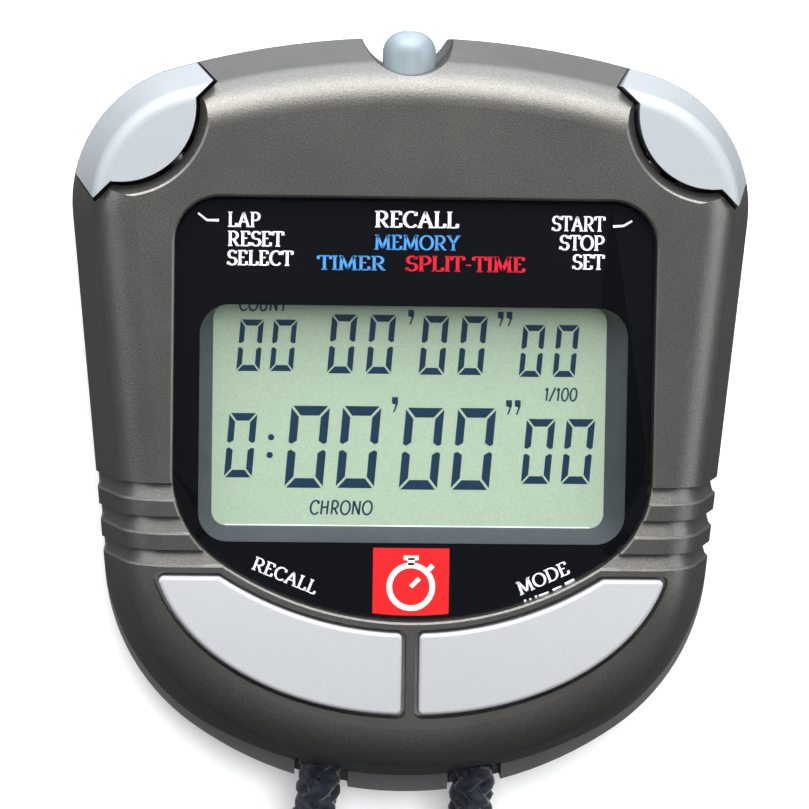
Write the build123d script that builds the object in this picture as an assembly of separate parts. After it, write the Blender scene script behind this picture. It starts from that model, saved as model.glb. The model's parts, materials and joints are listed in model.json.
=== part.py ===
from build123d import *
from math import pi, radians, sqrt, tan
import os

# Handheld digital stopwatch, lying on its back. Millimetres.
# X is its width, +Y points to the top button, +Z out of the display. Z = 0 is the rear face.

# ---------------------------------------------------------------- case outline
TOP_Y = 39.1
TOP_RADIUS = 88.8
SIDE_SLOPE = 0.0976                 # the sides lean out by this much for each mm up
WAIST_X, WAIST_Y = 31.25, -16.5     # a point on the straight side
CORNER_RADIUS = 14.2
LOBE_RADIUS = 22.0
REAR_BOTTOM_Y, REAR_BOTTOM_RADIUS = -39.4, 38.2
FRONT_BOTTOM_Y, FRONT_BOTTOM_RADIUS = -37.7, 42.0

PARTING_Z = 9.0
FACE_Z = 20.5
CEILING_Z = 18.0
FLOOR_Z = 1.8
WALL = 2.2
DRAFT = 16
FACE_FILLET = 4.6
REAR_FILLET = 3.4
BAY_ROOF_Z = 13.0

# ---------------------------------------------------------------- window and display
WINDOW_HALF = 24.3
WINDOW_TOP_Y = 22.95
WINDOW_CORNER = 4.6
WINDOW_LOW_CORNER = 10.8
WINDOW_ARC = 34.8
WINDOW_ARC_Y = 14.8                 # centre of the window's bottom arc
WINDOW_TOP_Z = 20.1
WINDOW_BOTTOM_Z = 18.9
MASK_Z = 18.7
LEDGE = 0.9
EDGE_CHAMFER = 0.2                  # round the window's recess

MASK_HALF = 21.65
MASK_TOP_Y, MASK_LOW_Y = 12.0, -12.05
DISPLAY_HALF = 20.1
DISPLAY_X = -0.2                    # the visible display sits a little left of the middle
DISPLAY_TOP_Y, DISPLAY_LOW_Y = 11.8, -10.92
BEZEL_TOP_Z = 17.95
DISPLAY_Z = 14.2                    # top of the display glass
GLASS_THICKNESS = 0.9
HOLDER_HALF = 25.6
HOLDER_TOP_Y, HOLDER_LOW_Y = 14.8, -14.25
GLASS_HALF = 22.9
GLASS_TOP_Y, GLASS_LOW_Y = 13.4, -12.45
STRIP_HALF, STRIP_WIDTH = 21.0, 2.2
STRIP_INSET = 0.35                  # from the glass's edge

# ---------------------------------------------------------------- front keys
KEY_TOP_Y = -15.4
KEY_ARC = 35.9                      # inner edge, about the window arc's centre
KEY_SIDE_X = 0.87
KEY_LOBE_A, KEY_LOBE_B, KEY_LOBE_Y = 26.3, 17.6, -11.85
KEY_GAP = 0.42
KEY_Z = 21.1
KEY_CROWN = 200.0                   # radius of its crowned top
KEY_CORNER = 0.55
KEY_ROUNDING = 0.4
KEY_FLANGE = 0.8
KEY_FLANGE_Z = 16.9
KEY_TRAVEL = 0.8
KEYPAD_Z = 13.2
KEYPAD_THICKNESS = 1.0
DOME_X, DOME_Y = 14.5, -22.0
PUCK_X, PUCK_Y, PUCK_R = 17.0, -20.0, 1.6

# ---------------------------------------------------------------- push buttons
PUSH_TRAVEL = 0.35
PUSH_ROOM = 0.06                    # left beyond the travel
CORNER_AXIS_T = 1.4                 # sideways place of the corner buttons' axis
CORNER_FLOOR_U = 35.5               # pocket floor, along the 45 degree axis
CORNER_BOSS_U = 43.6
CORNER_BOSS_R = 7.6
CORNER_HALF = 8.4
CORNER_BAND_U = 38.9
CORNER_AXIS_Z = 13.5
CAP_TOP_Z = 20.2
CAP_DRAFT = 12.5
SCOOP_R = 8.9                       # at the face
SCOOP_LOW_Z = 18.6
SCOOP_LIP = 0.15                    # chamfer on the scoop's outer edge
SPRING_SEAT_R = 3.4
TOP_FLOOR_Y = 32.4
TOP_AXIS_Z = 13.6
TOP_X = -0.7                        # the top button and its scoop sit a little left of the middle
TOP_HEAD_R = 2.72
TOP_DOME_Y = 39.7
TOP_ROUNDING = 2.2                  # of its domed end
NOTCH_Y = 40.6                      # axis of the upright scoop round the top button
NOTCH_LOW_R, NOTCH_HIGH_R = 4.6, 5.5
NOTCH_BLOCK_HALF = 5.2

# ---------------------------------------------------------------- grip grooves
GROOVES = ((-6.0, -7.75), (-9.38, -11.15), (-12.76, -14.4))
GROOVE_DEPTH = 0.75
GROOVE_EXIT = 0.33                  # depth left where the groove's floor meets its chamfer
GROOVE_LIP = 0.2                    # of that chamfer, inside the groove
GROOVE_START_X = 15.0

# ---------------------------------------------------------------- board and power
BOARD_BOTTOM_Z, BOARD_TOP_Z = 8.8, 9.8
CELL_R, CELL_H = 10.0, 3.2
CELL_X, CELL_Y, CELL_TOP_Z = -11.5, 2.0, 8.1
BUZZER_X, BUZZER_Y, BUZZER_R = 14.0, -3.0, 9.0
CASE_SCREWS = ((28.3, 10.0), (21.0, -26.5), (11.5, 29.3))
SCREW_R = 1.0
HEAD_R = 1.9
BOSS_R = 2.5
BOARD_SCREW_X, BOARD_SCREW_TOP_Y, BOARD_SCREW_LOW_Y = 24.2, 13.5, -12.9
BOARD_SCREW_R = 0.7

# ---------------------------------------------------------------- neck cord
CORD_D = 4.8
CORD_Z = 9.3
CORD_LEFT_X, CORD_RIGHT_X = -8.6, 7.4
CORD_TURN_Y = -33.2
CORD_JOIN_Y = -36.0
CHANNEL_R = 2.8
CHANNEL_OUT_Y = -44.0
CORD_BAY_TOP_Y, CORD_BAY_HALF = -23.0, 11.2
COIL_X, COIL_Y = -3.0, -84.0
COIL_IN_R, COIL_OUT_R = 17.8, 32.2
COIL_H = 9.0
LEFT_ROUTE = ((-8.6, -36.0, 9.3), (-9.3, -45.5, 8.7), (-14.5, -55.5, 3.4), (-24.07, -62.93, 2.4))
RIGHT_ROUTE = ((7.4, -36.0, 9.3), (6.5, -45.5, 8.3), (9.6, -56.0, 5.6), (16.37, -64.63, 6.56))

nodes = {}


def prism(face, low, high):
    """A plan face as a block between two heights."""
    return extrude(Pos(0, 0, low) * face, high - low)


def block(x0, x1, y0, y1, z0, z1):
    return Pos((x0 + x1) / 2, (y0 + y1) / 2, (z0 + z1) / 2) * Box(x1 - x0, y1 - y0, z1 - z0)


def rounded_plate(half, low_y, high_y, radius):
    return Pos(0, (low_y + high_y) / 2) * RectangleRounded(2 * half, high_y - low_y, radius)


def both_sides(shape):
    return shape + mirror(shape, Plane.YZ)


def cut_both(shape, cutter):
    """The shape without a cutter given for the right side, and without its mirror image."""
    return shape - cutter - mirror(cutter, Plane.YZ)


def fillet_corners(plan, radius, wanted):
    return fillet([v for v in plan.vertices() if wanted(v)], radius)


# ================================================================ plans
def side_corner(disc_y, disc_radius, radius, inset, end):
    """Arc of this radius, tangent to the right side and to a disc round (0, disc_y) from inside it.

    inset moves the side inwards. end is 1 for the corner at the side's upper end and -1 for the lower
    one. Gives the arc's end on the side, its middle and its end on the disc."""
    along = Vector(SIDE_SLOPE, 1).normalized()
    inward = Vector(-along.Y, along.X)
    disc = Vector(0, disc_y)
    start = Vector(WAIST_X, WAIST_Y) + inward * (radius + inset) - disc
    reach = start.dot(along)
    step = -reach + end * sqrt(reach**2 - start.length**2 + (disc_radius - radius) ** 2)
    centre = disc + start + along * step
    on_side = centre - inward * radius
    on_disc = disc + (centre - disc).normalized() * disc_radius
    middle = centre + ((on_side + on_disc) * 0.5 - centre).normalized() * radius
    return on_side, middle, on_disc


def case_outline(bottom_y, bottom_radius, inset=0.0):
    """Plan of a shell: a wide top arc, leaning sides and a round lobe below."""
    top_centre = TOP_Y - TOP_RADIUS
    low_centre = bottom_y + bottom_radius
    high = side_corner(top_centre, TOP_RADIUS - inset, CORNER_RADIUS - inset, inset, 1)
    low = side_corner(low_centre, bottom_radius - inset, LOBE_RADIUS - inset, inset, -1)
    edges = []
    for flip in (1, -1):
        upper, lower = [[Vector(flip * p.X, p.Y) for p in corner] for corner in (high, low)]
        edges += [ThreePointArc(*upper), Line(upper[0], lower[0]), ThreePointArc(*lower)]
    edges.append(ThreePointArc(high[2], (0, TOP_Y - inset), (-high[2].X, high[2].Y)))
    edges.append(ThreePointArc(low[2], (0, bottom_y + inset), (-low[2].X, low[2].Y)))
    return make_face(edges)


def window_plan(inset=0.0):
    half = WINDOW_HALF - inset
    top = WINDOW_TOP_Y - inset
    plan = Pos(0, top - 25) * Rectangle(2 * half, 50)
    plan = plan & (Pos(0, WINDOW_ARC_Y) * Circle(WINDOW_ARC - inset))
    plan = fillet_corners(plan, WINDOW_CORNER - inset, lambda v: v.Y > 0)
    return fillet_corners(plan, WINDOW_LOW_CORNER - inset, lambda v: v.Y < 0)


def key_plan(grow=0.0):
    """Plan of the right key. The left one is its mirror image."""
    plan = Pos(0, KEY_LOBE_Y) * Ellipse(KEY_LOBE_A + grow, KEY_LOBE_B + grow)
    side = KEY_SIDE_X - grow
    top = KEY_TOP_Y + grow
    plan = plan & (Pos(side + 20, top - 20) * Rectangle(40, 40))
    plan -= Pos(0, WINDOW_ARC_Y) * Circle(KEY_ARC - grow)
    return fillet(plan.vertices(), KEY_CORNER + grow / 2)


def cavity_plan(wall, with_bay=True):
    """Plan of the sealed space, with this much wall round it."""
    plan = case_outline(FRONT_BOTTOM_Y, FRONT_BOTTOM_RADIUS, wall)
    if with_bay:
        plan -= Pos(0, CORD_BAY_TOP_Y + wall - 20) * Rectangle(2 * (CORD_BAY_HALF + wall), 40)
    plan -= Pos(TOP_X, TOP_FLOOR_Y - wall + 10) * Rectangle(2 * (NOTCH_BLOCK_HALF + wall), 20)
    corner = Rot(0, 0, 45) * Pos(CORNER_FLOOR_U - wall + 20, CORNER_AXIS_T) * Rectangle(40, 60)
    return (plan - both_sides(corner)).face()


def corner_axis(shape):
    """Puts a shape drawn along +X, from the pocket floor at x = 0, on the right corner's axis."""
    return Rot(0, 0, 45) * Pos(CORNER_FLOOR_U, CORNER_AXIS_T, CORNER_AXIS_Z) * shape


def top_axis(shape):
    return Pos(TOP_X, TOP_FLOOR_Y, TOP_AXIS_Z) * Rot(0, 0, 90) * shape


def rod(radius, start, end):
    """A rod along X."""
    return Pos((start + end) / 2, 0, 0) * Rot(0, 90, 0) * Cylinder(radius, end - start)


# ================================================================ shells
front_plan = case_outline(FRONT_BOTTOM_Y, FRONT_BOTTOM_RADIUS)
rear_plan = case_outline(REAR_BOTTOM_Y, REAR_BOTTOM_RADIUS)


def front_envelope():
    body = extrude(Pos(0, 0, PARTING_Z) * front_plan, FACE_Z - PARTING_Z, taper=DRAFT)
    return fillet(body.faces().sort_by(Axis.Z)[-1].edges(), FACE_FILLET)


def cap_envelope():
    """What the corner caps are cut from: steeper sides than the case, and a small rounding."""
    height = CAP_TOP_Z - PARTING_Z
    body = extrude(Pos(0, 0, PARTING_Z) * front_plan, height, taper=CAP_DRAFT)
    return fillet(body.faces().sort_by(Axis.Z)[-1].edges(), 1.6)


def corner_plan(boss_radius, half, band_u):
    """Plan of a corner cap or of its pocket: a round boss and the band across the corner."""
    band = Pos(band_u + 10, 0) * Rectangle(20, 2 * half)
    boss = Pos(CORNER_BOSS_U, 0) * Circle(boss_radius)
    return Rot(0, 0, 45) * Pos(0, CORNER_AXIS_T) * (band + boss)


def corner_pocket():
    """Room for a corner cap: its plan moved along the travel, so the gap narrows towards the sides."""
    travel = PUSH_TRAVEL + PUSH_ROOM
    side_room = 0.12
    boss_middle = Pos(CORNER_BOSS_U - travel / 2, 0)
    boss = Pos(CORNER_BOSS_U, 0) * Circle(CORNER_BOSS_R + side_room)
    boss += Pos(CORNER_BOSS_U - travel, 0) * Circle(CORNER_BOSS_R + side_room)
    boss += boss_middle * Rectangle(travel, 2 * (CORNER_BOSS_R + side_room))
    band = Pos(CORNER_BAND_U - travel + 10, 0) * Rectangle(20, 2 * (CORNER_HALF + 2 * side_room))
    plan = Rot(0, 0, 45) * Pos(0, CORNER_AXIS_T) * (band + boss)
    return prism(plan, PARTING_Z - 1, FACE_Z + 1)


def corner_cone(low_r, high_r, low_z, high_z):
    """Upright cone round a corner boss."""
    cone = Pos(0, 0, (low_z + high_z) / 2) * Cone(low_r, high_r, high_z - low_z)
    return Rot(0, 0, 45) * Pos(CORNER_BOSS_U, CORNER_AXIS_T) * cone


def corner_scoop():
    """Sloping scoop in the face, round the pocket of a corner cap, and the chamfer on its edge."""
    low_r = CORNER_BOSS_R + PUSH_TRAVEL
    past = 0.5
    slope = (SCOOP_R - low_r) / (FACE_Z - SCOOP_LOW_Z)
    scoop = corner_cone(low_r, SCOOP_R + past * slope, SCOOP_LOW_Z, FACE_Z + past)
    lip = corner_cone(SCOOP_R, SCOOP_R + 3 * SCOOP_LIP, FACE_Z - SCOOP_LIP, FACE_Z + SCOOP_LIP)
    return scoop, lip


def notch():
    """The open scoop round the top button, through both shells and widening upwards."""
    past = 1.0
    growth = (NOTCH_HIGH_R - NOTCH_LOW_R) / FACE_Z
    cone = Cone(NOTCH_LOW_R - past * growth, NOTCH_HIGH_R + past * growth, FACE_Z + 2 * past)
    return Pos(TOP_X, NOTCH_Y, FACE_Z / 2) * cone


def window_chamfer():
    """Cutter that breaks the face's edge round the window's recess."""
    low = Pos(0, 0, FACE_Z - EDGE_CHAMFER) * window_plan()
    high = Pos(0, 0, FACE_Z + EDGE_CHAMFER) * window_plan(-2 * EDGE_CHAMFER)
    return loft([low.face(), high.face()], ruled=True)


def groove_cutter(top_y, bottom_y):
    """Saw-tooth groove on the right: across the face, over the rounding and down the side."""
    side_x = WAIST_X + ((top_y + bottom_y) / 2 - WAIST_Y) * SIDE_SLOPE
    lean = tan(radians(DRAFT))
    edge_x = side_x - (FACE_Z - PARTING_Z) * lean
    path = FilletPolyline(
        (GROOVE_START_X, top_y, FACE_Z),
        (edge_x, top_y, FACE_Z),
        (side_x + 2 * lean, top_y, PARTING_Z - 2),
        radius=FACE_FILLET,
    )
    width = bottom_y - top_y
    above = 1.0
    profile = Plane(origin=(GROOVE_START_X, top_y, FACE_Z), x_dir=(0, 1, 0), z_dir=(1, 0, 0)) * Polygon(
        (0, above),
        (0, -GROOVE_DEPTH),
        (width + GROOVE_LIP, -GROOVE_EXIT),
        (width - GROOVE_LIP / 2, 0.0),
        (width - GROOVE_LIP / 2, above),
        align=None,
    )
    return sweep(profile, path)


def rear_groove(top_y, bottom_y):
    """The same groove down the upright side of the rear shell."""
    side_x = WAIST_X + ((top_y + bottom_y) / 2 - WAIST_Y) * SIDE_SLOPE
    plan = Polygon(
        (side_x - GROOVE_DEPTH, top_y),
        (side_x - GROOVE_EXIT, bottom_y + GROOVE_LIP),
        (side_x + 1, bottom_y - GROOVE_LIP),
        (side_x + 1, top_y),
        align=None,
    )
    return prism(plan, REAR_FILLET, PARTING_Z + 1)


def cord_channel():
    """The loop's way round its post, with a straight way out through the wall at each end."""
    radius = (CORD_RIGHT_X - CORD_LEFT_X) / 2
    middle = (CORD_RIGHT_X + CORD_LEFT_X) / 2
    route = Line((CORD_LEFT_X, CHANNEL_OUT_Y, CORD_Z), (CORD_LEFT_X, CORD_TURN_Y, CORD_Z))
    route += ThreePointArc(
        (CORD_LEFT_X, CORD_TURN_Y, CORD_Z),
        (middle, CORD_TURN_Y + radius, CORD_Z),
        (CORD_RIGHT_X, CORD_TURN_Y, CORD_Z),
    )
    route += Line((CORD_RIGHT_X, CORD_TURN_Y, CORD_Z), (CORD_RIGHT_X, CHANNEL_OUT_Y, CORD_Z))
    return tube(route, CHANNEL_R)


def tube(route, radius):
    section = Plane(origin=route @ 0, z_dir=route % 0) * Circle(radius)
    return sweep(section, route)


def upright(points, radius, low, high):
    """Upright rods at points given for the right side, and their mirror images."""
    rod_middle = (low + high) / 2
    places = [(side * x, y, rod_middle) for x, y in points for side in (1, -1)]
    return Compound([Pos(*place) * Cylinder(radius, high - low) for place in places])


def drilled(shape, points, radius, low, high):
    """The shape with an upright hole at each point given for the right side, and at its mirror image."""
    for hole in upright(points, radius, low, high).solids():
        shape -= hole
    return shape


channel = cord_channel()

ceiling_inset = WALL + (CEILING_Z - PARTING_Z) * tan(radians(DRAFT))
inner_low = Pos(0, 0, PARTING_Z) * case_outline(FRONT_BOTTOM_Y, FRONT_BOTTOM_RADIUS, WALL)
inner_high = Pos(0, 0, CEILING_Z) * case_outline(FRONT_BOTTOM_Y, FRONT_BOTTOM_RADIUS, ceiling_inset)
inner_draft = loft([inner_low.face(), inner_high.face()], ruled=True)
front_cavity = prism(cavity_plan(WALL), PARTING_Z, BAY_ROOF_Z)
front_cavity += prism(cavity_plan(WALL, with_bay=False), BAY_ROOF_Z, CEILING_Z)
front_cavity = front_cavity & inner_draft

front_case = front_envelope() - front_cavity
for x, y in CASE_SCREWS:
    boss_top = CEILING_Z if y > 0 else BAY_ROOF_Z
    front_case += both_sides(prism(Pos(x, y) * Circle(BOSS_R), PARTING_Z, boss_top + 0.1))
front_case = drilled(front_case, CASE_SCREWS, SCREW_R + 0.02, PARTING_Z - 1, BAY_ROOF_Z - 1)
front_case -= prism(window_plan(), MASK_Z, FACE_Z + 1)
front_case -= prism(window_plan(LEDGE), CEILING_Z - 1, FACE_Z)
front_case -= window_chamfer()
front_case = cut_both(front_case, prism(key_plan(KEY_GAP), KEY_FLANGE_Z - KEY_TRAVEL - 0.2, FACE_Z + 1))
front_case = cut_both(front_case, corner_pocket())
for cone in corner_scoop():
    front_case = cut_both(front_case, cone)
front_case -= notch()
front_case -= top_axis(rod(TOP_HEAD_R + 0.12, 0, 20))
front_case = cut_both(front_case, corner_axis(rod(2.05, -5, 5)))
front_case = cut_both(front_case, corner_axis(rod(SPRING_SEAT_R, 0, 2)))
front_case -= top_axis(rod(1.25, -5, 5))
for top_y, bottom_y in GROOVES:
    front_case = cut_both(front_case, groove_cutter(top_y, bottom_y))
front_case -= channel
nodes["front_case"] = front_case

rear_case = prism(rear_plan, 0, PARTING_Z)
rear_case = fillet(rear_case.faces().sort_by(Axis.Z)[0].edges(), REAR_FILLET)
rear_case -= prism(cavity_plan(WALL), FLOOR_Z, PARTING_Z + 1)
for x, y in CASE_SCREWS:
    rear_case += both_sides(prism(Pos(x, y) * Circle(BOSS_R), FLOOR_Z - 0.1, PARTING_Z))
gasket_plan = cavity_plan(1.05) - cavity_plan(1.75)
rear_case -= prism(gasket_plan, PARTING_Z - 0.7, PARTING_Z + 1)
rear_case -= notch()
for top_y, bottom_y in GROOVES:
    rear_case = cut_both(rear_case, rear_groove(top_y, bottom_y))
rear_case -= channel
for x in (CORD_LEFT_X, CORD_RIGHT_X):
    rear_case -= block(x - CHANNEL_R, x + CHANNEL_R, CHANNEL_OUT_Y, CORD_JOIN_Y - 0.5, 5.6, CORD_Z)
rear_case = drilled(rear_case, CASE_SCREWS, HEAD_R + 0.15, -1, 1.6)
rear_case = drilled(rear_case, CASE_SCREWS, SCREW_R + 0.15, -1, PARTING_Z + 1)
nodes["rear_case"] = rear_case
nodes["case_gasket"] = prism(gasket_plan, PARTING_Z - 0.7, PARTING_Z)

# ================================================================ window and display
nodes["display_window"] = prism(window_plan(0.12), WINDOW_BOTTOM_Z, WINDOW_TOP_Z)
nodes["display_window"] = chamfer(nodes["display_window"].faces().sort_by(Axis.Z)[-1].edges(), 0.3)
mask = prism(window_plan(0.12), MASK_Z, WINDOW_BOTTOM_Z)
mask -= prism(rounded_plate(MASK_HALF, MASK_LOW_Y, MASK_TOP_Y, 3.0), MASK_Z - 1, WINDOW_BOTTOM_Z + 1)
nodes["window_mask"] = mask

bezel = prism(rounded_plate(HOLDER_HALF, HOLDER_LOW_Y, HOLDER_TOP_Y, 1.5), BOARD_TOP_Z, BEZEL_TOP_Z)
bezel -= block(
    -GLASS_HALF - 0.1, GLASS_HALF + 0.1, GLASS_LOW_Y - 0.1, GLASS_TOP_Y + 0.1, BOARD_TOP_Z - 1, DISPLAY_Z + 0.05
)
bevel_low = Pos(DISPLAY_X, 0, DISPLAY_Z) * rounded_plate(DISPLAY_HALF, DISPLAY_LOW_Y, DISPLAY_TOP_Y, 1.5)
bevel_high = Pos(0, 0, BEZEL_TOP_Z + 0.2) * rounded_plate(
    MASK_HALF + 0.3, MASK_LOW_Y - 0.3, MASK_TOP_Y + 0.3, 3.2
)
bezel -= loft([bevel_low.face(), bevel_high.face()])
board_screws = ((BOARD_SCREW_X, BOARD_SCREW_TOP_Y), (BOARD_SCREW_X, BOARD_SCREW_LOW_Y))
bezel = drilled(bezel, board_screws, BOARD_SCREW_R + 0.02, BOARD_TOP_Z - 1, BOARD_TOP_Z + 4)
nodes["lcd_bezel"] = bezel


def display_layer(half, low_y, high_y, low, high):
    return block(-half, half, low_y, high_y, low, high)


glass_joint = DISPLAY_Z - GLASS_THICKNESS
glass_low = glass_joint - GLASS_THICKNESS
strip_high_y = GLASS_TOP_Y - STRIP_INSET
strip_low_y = GLASS_LOW_Y + STRIP_INSET
light_high_y = strip_high_y - STRIP_WIDTH - 0.2
light_low_y = strip_low_y + STRIP_WIDTH + 0.2
nodes["lcd_front_glass"] = display_layer(GLASS_HALF, GLASS_LOW_Y, GLASS_TOP_Y, glass_joint, DISPLAY_Z)
nodes["lcd_rear_glass"] = display_layer(GLASS_HALF, GLASS_LOW_Y, GLASS_TOP_Y, glass_low, glass_joint)
nodes["backlight_panel"] = display_layer(STRIP_HALF, light_low_y, light_high_y, BOARD_TOP_Z, glass_low)
nodes["upper_contact_strip"] = display_layer(
    STRIP_HALF, strip_high_y - STRIP_WIDTH, strip_high_y, BOARD_TOP_Z, glass_low
)
nodes["lower_contact_strip"] = display_layer(
    STRIP_HALF, strip_low_y, strip_low_y + STRIP_WIDTH, BOARD_TOP_Z, glass_low
)

# ================================================================ circuit board
board = prism(cavity_plan(WALL + 0.7), BOARD_BOTTOM_Z, BOARD_TOP_Z)
board = drilled(board, CASE_SCREWS, BOSS_R + 0.3, 0, 20)
board = drilled(board, board_screws, BOARD_SCREW_R + 0.1, 0, 20)
nodes["circuit_board"] = board
screw = upright(board_screws, BOARD_SCREW_R, BOARD_BOTTOM_Z, BOARD_TOP_Z + 3.2)
nodes["board_screws"] = Compound(
    [s + Pos(s.center().X, s.center().Y, BOARD_BOTTOM_Z - 0.4) * Cylinder(1.3, 0.8) for s in screw.solids()]
)
nodes["controller_chip"] = block(6.5, 15.5, 7.5, 16.5, BOARD_BOTTOM_Z - 1.3, BOARD_BOTTOM_Z)
nodes["quartz_crystal"] = Pos(-3, 18.5, BOARD_BOTTOM_Z - 1.05) * Rot(0, 90, 0) * Cylinder(1.0, 6.0)
nodes["light_coil"] = Pos(19.5, 13.5, BOARD_BOTTOM_Z - 1.5) * (Cylinder(2.6, 3.0) - Cylinder(0.8, 3.0))
nodes["board_capacitors"] = Compound(
    [block(x, x + 1.2, 20.5, 22.5, BOARD_BOTTOM_Z - 0.9, BOARD_BOTTOM_Z) for x in (-14.0, -11.0, 4.0, 7.0)]
)

# ================================================================ battery and buzzer
cell_z = CELL_TOP_Z - CELL_H
cell = Pos(CELL_X, CELL_Y, cell_z + CELL_H / 2) * Cylinder(CELL_R, CELL_H)
nodes["coin_cell"] = fillet(cell.faces().sort_by(Axis.Z)[0].edges(), 0.4)
strap = block(CELL_X - 3, CELL_X + 3, CELL_Y - CELL_R - 0.9, CELL_Y + CELL_R + 0.9, cell_z - 0.4, cell_z)
for side in (-1, 1):
    leg_y = CELL_Y + side * (CELL_R + 0.65)
    strap += block(CELL_X - 3, CELL_X + 3, leg_y - 0.25, leg_y + 0.25, cell_z - 0.4, BOARD_BOTTOM_Z)
nodes["battery_clip"] = strap
nodes["battery_contact"] = Pos(CELL_X, CELL_Y, (CELL_TOP_Z + BOARD_BOTTOM_Z) / 2) * Cylinder(
    3.5, BOARD_BOTTOM_Z - CELL_TOP_Z
)
nodes["buzzer_disc"] = Pos(BUZZER_X, BUZZER_Y, FLOOR_Z + 0.2) * Cylinder(BUZZER_R, 0.4)


def coil_spring(length, coil_radius, wire_radius, turns):
    """A helical spring standing on z = 0."""
    end_room = wire_radius + 0.04
    rise = length - 2 * end_room
    path = Helix(pitch=rise / turns, height=rise, radius=coil_radius)
    section = Plane(origin=path @ 0, z_dir=path % 0) * Circle(wire_radius)
    return Pos(0, 0, end_room) * sweep(section, path, is_frenet=True)


nodes["buzzer_spring"] = Pos(BUZZER_X, BUZZER_Y, FLOOR_Z + 0.45) * coil_spring(
    BOARD_BOTTOM_Z - FLOOR_Z - 0.5, 1.3, 0.2, 5
)

# ================================================================ keypad and keys
keypad_plan = cavity_plan(WALL + 1.8, with_bay=False)
keypad_plan = keypad_plan & (Pos(0, HOLDER_LOW_Y - 0.5 - 15) * Rectangle(80, 30))
keypad = prism(keypad_plan, KEYPAD_Z, KEYPAD_Z + KEYPAD_THICKNESS)
keypad += both_sides(prism(Pos(PUCK_X, PUCK_Y) * Circle(PUCK_R), BOARD_TOP_Z + 0.7, KEYPAD_Z + 0.1))
nodes["keypad"] = keypad

key = prism(key_plan(), KEY_FLANGE_Z, KEY_Z + 1)
key = key & (Pos(DOME_X, DOME_Y, KEY_Z - KEY_CROWN) * Sphere(KEY_CROWN))
key = fillet(key.faces().sort_by(Axis.Z)[-1].edges(), KEY_ROUNDING)
flange_plan = key_plan(KEY_FLANGE)
flange_plan = flange_plan & case_outline(FRONT_BOTTOM_Y, FRONT_BOTTOM_RADIUS, ceiling_inset + 0.3)
flange_plan -= Rectangle(0.8, 200)
key += prism(flange_plan, KEY_FLANGE_Z, CEILING_Z - 0.1)
nodes["mode_key"] = key
nodes["recall_key"] = mirror(key, Plane.YZ)
dome_low = KEYPAD_Z + KEYPAD_THICKNESS
dome_high = KEY_FLANGE_Z
dome = Cone(3.2, 2.2, dome_high - dome_low) - Cone(2.4, 1.4, dome_high - dome_low)
dome = Pos(DOME_X, DOME_Y, (dome_low + dome_high) / 2) * dome
nodes["mode_dome"] = dome
nodes["recall_dome"] = mirror(dome, Plane.YZ)


# ================================================================ push buttons
def push_hardware(stem_r, seal_r, coil_r, wire_r, recess, socket):
    """Stem, seal, spring, clip and contact leaf, drawn along +X from the pocket floor."""
    clip_out = -WALL - 0.05
    stem_in = clip_out - 2.0
    groove_r = stem_r - 2 * seal_r
    seal_x = -WALL / 2
    stem = rod(stem_r, stem_in, socket)
    stem -= rod(stem_r + 1, seal_x - seal_r - 0.05, seal_x + seal_r + 0.05) - rod(groove_r, -9, 9)
    clip_groove = rod(stem_r + 1, clip_out - 0.5, clip_out) - rod(stem_r * 0.72, -9, 9)
    clip = rod(stem_r + 1.0, clip_out - 0.45, clip_out - 0.05) - rod(stem_r * 0.74, -9, 9)
    clip -= Pos(clip_out, 0, -stem_r) * Box(2, stem_r * 1.2, 2 * stem_r)
    leaf_x = stem_in - PUSH_TRAVEL - 0.1
    leaf_bottom = BOARD_TOP_Z - CORNER_AXIS_Z
    leaf = block(leaf_x - 0.2, leaf_x, -1.5, 1.5, leaf_bottom, 1.5)
    leaf += block(leaf_x - 2.0, leaf_x, -1.5, 1.5, leaf_bottom, leaf_bottom + 0.2)
    return {
        "stem": stem - clip_groove,
        "seal": Pos(seal_x, 0, 0) * Rot(0, 90, 0) * Torus(stem_r - seal_r, seal_r - 0.01),
        "spring": Rot(0, 90, 0) * coil_spring(recess - 0.02, coil_r, wire_r, 5),
        "clip": clip,
        "contact": leaf,
    }


cap_socket, cap_recess, cap_recess_r = 6.0, 5.2, 3.3
cap = cap_envelope() & prism(
    corner_plan(CORNER_BOSS_R, CORNER_HALF, CORNER_BAND_U), PARTING_Z + 0.3, FACE_Z
)
cap = cap.solids().sort_by(Axis.X)[-1]
cap -= corner_axis(rod(cap_recess_r, -5, cap_recess))
cap -= corner_axis(rod(2.0, -5, cap_socket))
corner_parts = push_hardware(2.0, 0.42, 2.65, 0.22, cap_recess, cap_socket)
corner_parts = {name: corner_axis(shape) for name, shape in corner_parts.items()}
corner_parts["cap"] = cap
for name, shape in corner_parts.items():
    nodes["start_stop_" + name] = shape
    nodes["lap_reset_" + name] = mirror(shape, Plane.YZ)

head_base = PUSH_TRAVEL + PUSH_ROOM
head_tip = TOP_DOME_Y - TOP_FLOOR_Y
head = rod(TOP_HEAD_R, head_base, head_tip)
head = fillet(head.faces().sort_by(Axis.X)[-1].edges(), TOP_ROUNDING)
top_socket, top_recess, top_recess_r = 4.6, 3.4, 2.0
head -= rod(top_recess_r, -5, top_recess)
head -= rod(1.2, -5, top_socket)
top_parts = push_hardware(1.2, 0.26, 1.62, 0.16, top_recess, top_socket)
top_parts["cap"] = head
for name, shape in top_parts.items():
    nodes["light_button_" + name] = top_axis(shape)

# ================================================================ screws
screw_seat = 1.6
shanks = upright(CASE_SCREWS, SCREW_R, screw_seat, BAY_ROOF_Z - 1.3)
nodes["case_screws"] = Compound(
    [s + Pos(s.center().X, s.center().Y, screw_seat - 0.5) * Cylinder(HEAD_R, 1.0) for s in shanks.solids()]
)


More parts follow.
